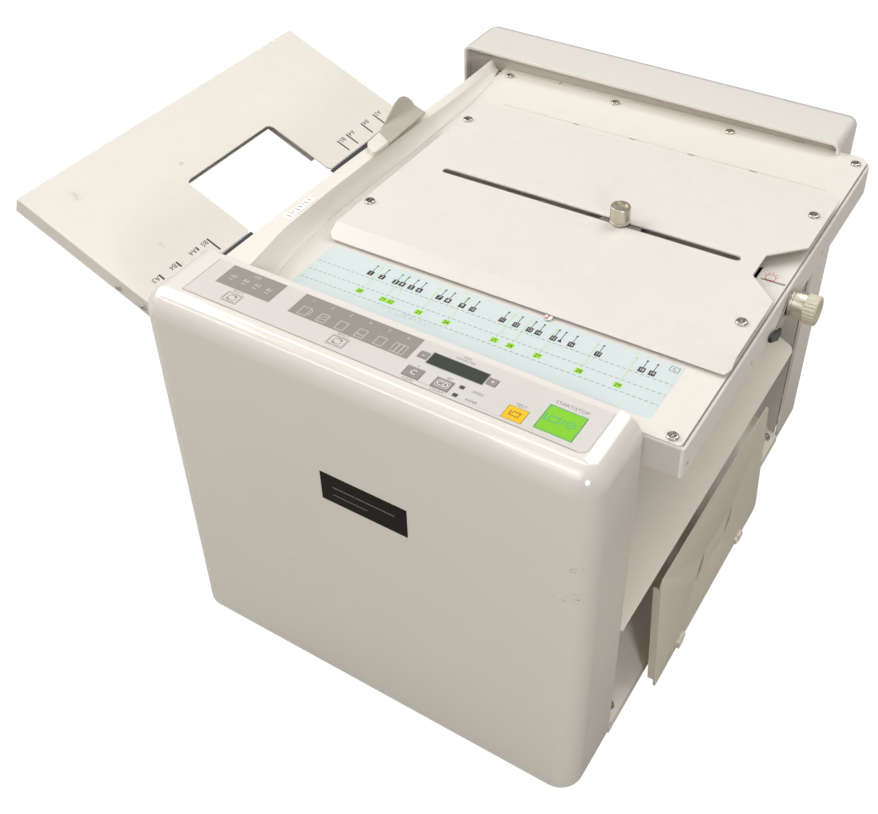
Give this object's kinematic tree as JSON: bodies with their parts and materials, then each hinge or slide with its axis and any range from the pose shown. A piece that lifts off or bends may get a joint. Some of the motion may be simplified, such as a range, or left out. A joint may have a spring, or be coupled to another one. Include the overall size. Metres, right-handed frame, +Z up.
{
  "type": "paper folding machine",
  "caption": "Desk-top buckle folder: sloping feed tray, settings table on a fold plate, fold rollers between two deep side covers, and a delivery chute with a fold-down receiving plate.",
  "frame": {"origin": "middle of the underside of the whole machine, on the surface its feet stand on", "axes": "+X along the front cover, from the feed tray towards the delivery end; +Y to the back, from the control panel side to the mains inlet side; +Z up"},
  "size_m": [0.6048, 0.4896, 0.3429],
  "materials": {
    "badge": "glossy black",
    "black_paint": "semi-matt",
    "black_plastic": "fine grain",
    "board": "circuit board",
    "bronze": "sintered",
    "chart": "printed film, pale blue",
    "cover": "smooth moulded off-white",
    "cream_plastic": "moulded",
    "frame_steel": "grey paint",
    "gear_plastic": "moulded",
    "green_key": "printed key",
    "label": "printed film, satin",
    "nickel": "nickel plated",
    "red_plastic": "moulded",
    "roller": "knurled",
    "rubber": "matt",
    "sheet_paint": "fine powder coat, warm off-white",
    "steel": "plated",
    "white_plastic": "moulded",
    "yellow_key": "printed key"
  },
  "bodies": {
    "chassis": {"base_plate": "frame_steel", "circuit_boards": "board", "control_overlay": "label", "delivery_chute": "sheet_paint", "drive_belts": "rubber", "drive_motor": "black_paint", "entry_guides": "steel", "feed_floor": "black_paint", "feed_tray": "sheet_paint", "fold_plate_1_guide": "steel", "fold_plate_1_pan": "sheet_paint", "fold_plate_2": "sheet_paint", "front_cover": "cover", "front_side_frame": "frame_steel", "name_plate": "badge", "power_inlet": "black_plastic", "rear_cover": "cover", "rear_side_frame": "frame_steel", "receiving_plate_hinges": "steel", "rim_cover": "sheet_paint", "roller_bushes": "bronze", "rubber_feet": "rubber", "screws_and_spacers": "nickel", "setting_chart": "chart", "stopper_cover_plate": "sheet_paint", "table_sheet": "sheet_paint", "tie_bars": "steel", "tray_arms": "sheet_paint"},
    "start_stop_key": {"start_stop_key": "green_key"},
    "test_key": {"test_key": "yellow_key"},
    "clear_key": {"clear_key": "label"},
    "counter_key": {"counter_key": "label"},
    "minus_key": {"minus_key": "label"},
    "plus_key": {"plus_key": "label"},
    "paper_size_key": {"paper_size_key": "label"},
    "fold_type_key": {"fold_type_key": "label"},
    "power_rocker": {"power_rocker": "black_plastic"},
    "stopper_1": {"stopper_1": "steel"},
    "clamp_knob_1": {"clamp_knob_1": "nickel"},
    "skew_knob": {"skew_knob": "cream_plastic"},
    "skew_indicator": {"skew_indicator": "red_plastic"},
    "skew_lock_lever": {"skew_lock_lever": "steel"},
    "feed_lever": {"feed_lever": "white_plastic"},
    "tray_extension": {"tray_extension": "sheet_paint"},
    "feed_roller": {"feed_roller": "rubber", "feed_shaft": "steel"},
    "front_paper_guide": {"front_paper_guide": "steel"},
    "rear_paper_guide": {"rear_paper_guide": "steel"},
    "guide_pinion": {"guide_pinion": "gear_plastic"},
    "fold_roller_1": {"fold_roller_1": "roller", "roller_gear_1": "gear_plastic"},
    "fold_roller_2": {"fold_roller_2": "roller", "roller_gear_2": "gear_plastic"},
    "fold_roller_3": {"fold_roller_3": "roller", "roller_gear_3": "gear_plastic"},
    "fold_roller_4": {"fold_roller_4": "roller", "roller_gear_4": "gear_plastic"},
    "motor_pulley": {"motor_pulley": "gear_plastic"},
    "stopper_2": {"stopper_2": "steel"},
    "receiving_plate": {"receiving_plate": "sheet_paint"}
  },
  "joints": [
    {"name": "start_stop_key_press", "type": "slide", "parent": "chassis", "child": "start_stop_key", "axis": [0, 0, -1], "range_m": [0, 0.0004], "stiffness_N_per_m": 900, "springref_m": -0.0006},
    {"name": "test_key_press", "type": "slide", "parent": "chassis", "child": "test_key", "axis": [0, 0, -1], "range_m": [0, 0.0004], "stiffness_N_per_m": 900, "springref_m": -0.0006},
    {"name": "clear_key_press", "type": "slide", "parent": "chassis", "child": "clear_key", "axis": [0, 0, -1], "range_m": [0, 0.0004], "stiffness_N_per_m": 900, "springref_m": -0.0006},
    {"name": "counter_key_press", "type": "slide", "parent": "chassis", "child": "counter_key", "axis": [0, 0, -1], "range_m": [0, 0.0004], "stiffness_N_per_m": 900, "springref_m": -0.0006},
    {"name": "minus_key_press", "type": "slide", "parent": "chassis", "child": "minus_key", "axis": [0, 0, -1], "range_m": [0, 0.0004], "stiffness_N_per_m": 900, "springref_m": -0.0006},
    {"name": "plus_key_press", "type": "slide", "parent": "chassis", "child": "plus_key", "axis": [0, 0, -1], "range_m": [0, 0.0004], "stiffness_N_per_m": 900, "springref_m": -0.0006},
    {"name": "paper_size_key_press", "type": "slide", "parent": "chassis", "child": "paper_size_key", "axis": [0, 0, -1], "range_m": [0, 0.0004], "stiffness_N_per_m": 900, "springref_m": -0.0006},
    {"name": "fold_type_key_press", "type": "slide", "parent": "chassis", "child": "fold_type_key", "axis": [0, 0, -1], "range_m": [0, 0.0004], "stiffness_N_per_m": 900, "springref_m": -0.0006},
    {"name": "power_rocker_tilt", "type": "hinge", "parent": "chassis", "child": "power_rocker", "pos_m": [0.001, 0.2396, 0.052], "axis": [1, 0, 0], "range_deg": [0, 12]},
    {"name": "stopper_1_slide", "type": "slide", "parent": "chassis", "child": "stopper_1", "axis": [0.9998, 0, 0.0175], "range_m": [-0.145, 0.086]},
    {"name": "clamp_knob_1_turn", "type": "hinge", "parent": "stopper_1", "child": "clamp_knob_1", "pos_m": [0.15194, -0.0015, 0.33554], "axis": [-0.0175, 0, 0.9998], "continuous": true},
    {"name": "skew_knob_turn", "type": "hinge", "parent": "chassis", "child": "skew_knob", "pos_m": [0.28919, 0.0005, 0.30518], "axis": [0.9998, 0, 0.0175], "range_deg": [-1080, 1440]},
    {"name": "skew_indicator_slide", "type": "slide", "parent": "chassis", "child": "skew_indicator", "axis": [0.9998, 0, 0.0175], "range_m": [-0.0062, 0.0082]},
    {"name": "skew_lock_lever_turn", "type": "hinge", "parent": "chassis", "child": "skew_lock_lever", "pos_m": [0.2816, 0.0005, 0.30505], "axis": [0.9998, 0, 0.0175], "range_deg": [-20, 30]},
    {"name": "feed_lever_turn", "type": "hinge", "parent": "chassis", "child": "feed_lever", "pos_m": [-0.0578, -0.0065, 0.333], "axis": [0, 0, 1], "range_deg": [0, 60]},
    {"name": "tray_extension_slide", "type": "slide", "parent": "chassis", "child": "tray_extension", "axis": [-0.9219, 0, 0.3875], "range_m": [0, 0.08]},
    {"name": "front_paper_guide_slide", "type": "slide", "parent": "chassis", "child": "front_paper_guide", "axis": [0, 1, 0], "range_m": [0, 0.0575]},
    {"name": "rear_paper_guide_slide", "type": "slide", "parent": "chassis", "child": "rear_paper_guide", "axis": [0, 1, 0], "range_m": [-0.0576, 0]},
    {"name": "guide_pinion_turn", "type": "hinge", "parent": "chassis", "child": "guide_pinion", "pos_m": [-0.11407, -0.0005, 0.22096], "axis": [0.3875, 0, 0.9219], "range_deg": [-550, 0]},
    {"name": "fold_roller_2_turn", "type": "hinge", "parent": "chassis", "child": "fold_roller_2", "pos_m": [-0.059, -0.0005, 0.2833], "axis": [0, 1, 0], "continuous": true},
    {"name": "fold_roller_1_turn", "type": "hinge", "parent": "chassis", "child": "fold_roller_1", "pos_m": [-0.059, -0.0005, 0.3037], "axis": [0, 1, 0], "continuous": true},
    {"name": "fold_roller_3_turn", "type": "hinge", "parent": "chassis", "child": "fold_roller_3", "pos_m": [-0.0386, -0.0005, 0.2833], "axis": [0, 1, 0], "continuous": true},
    {"name": "fold_roller_4_turn", "type": "hinge", "parent": "chassis", "child": "fold_roller_4", "pos_m": [-0.059, -0.0005, 0.2629], "axis": [0, 1, 0], "continuous": true},
    {"name": "feed_roller_turn", "type": "hinge", "parent": "chassis", "child": "feed_roller", "pos_m": [-0.103, -0.0005, 0.2386], "axis": [0, 1, 0], "continuous": true},
    {"name": "motor_pulley_turn", "type": "hinge", "parent": "chassis", "child": "motor_pulley", "pos_m": [0.059, 0.2065, 0.204], "axis": [0, 1, 0], "continuous": true},
    {"name": "stopper_2_slide", "type": "slide", "parent": "chassis", "child": "stopper_2", "axis": [0.891, 0, -0.454], "range_m": [-0.075, 0.078]},
    {"name": "receiving_plate_fold", "type": "hinge", "parent": "chassis", "child": "receiving_plate", "pos_m": [0.2676, -0.018, 0.0095], "axis": [0, 1, 0], "range_deg": [0, 92.9]}
  ],
  "couplings": [
    {"joint": "skew_indicator_slide", "follows": "skew_knob_turn", "m_per_rad": 0.0003183},
    {"joint": "rear_paper_guide_slide", "follows": "front_paper_guide_slide", "ratio": -1},
    {"joint": "guide_pinion_turn", "follows": "front_paper_guide_slide", "rad_per_m": -166.67},
    {"joint": "fold_roller_1_turn", "follows": "fold_roller_2_turn", "ratio": -1},
    {"joint": "fold_roller_3_turn", "follows": "fold_roller_2_turn", "ratio": -1},
    {"joint": "fold_roller_4_turn", "follows": "fold_roller_2_turn", "ratio": -1},
    {"joint": "feed_roller_turn", "follows": "fold_roller_2_turn", "ratio": -1},
    {"joint": "motor_pulley_turn", "follows": "fold_roller_2_turn", "ratio": 2}
  ]
}
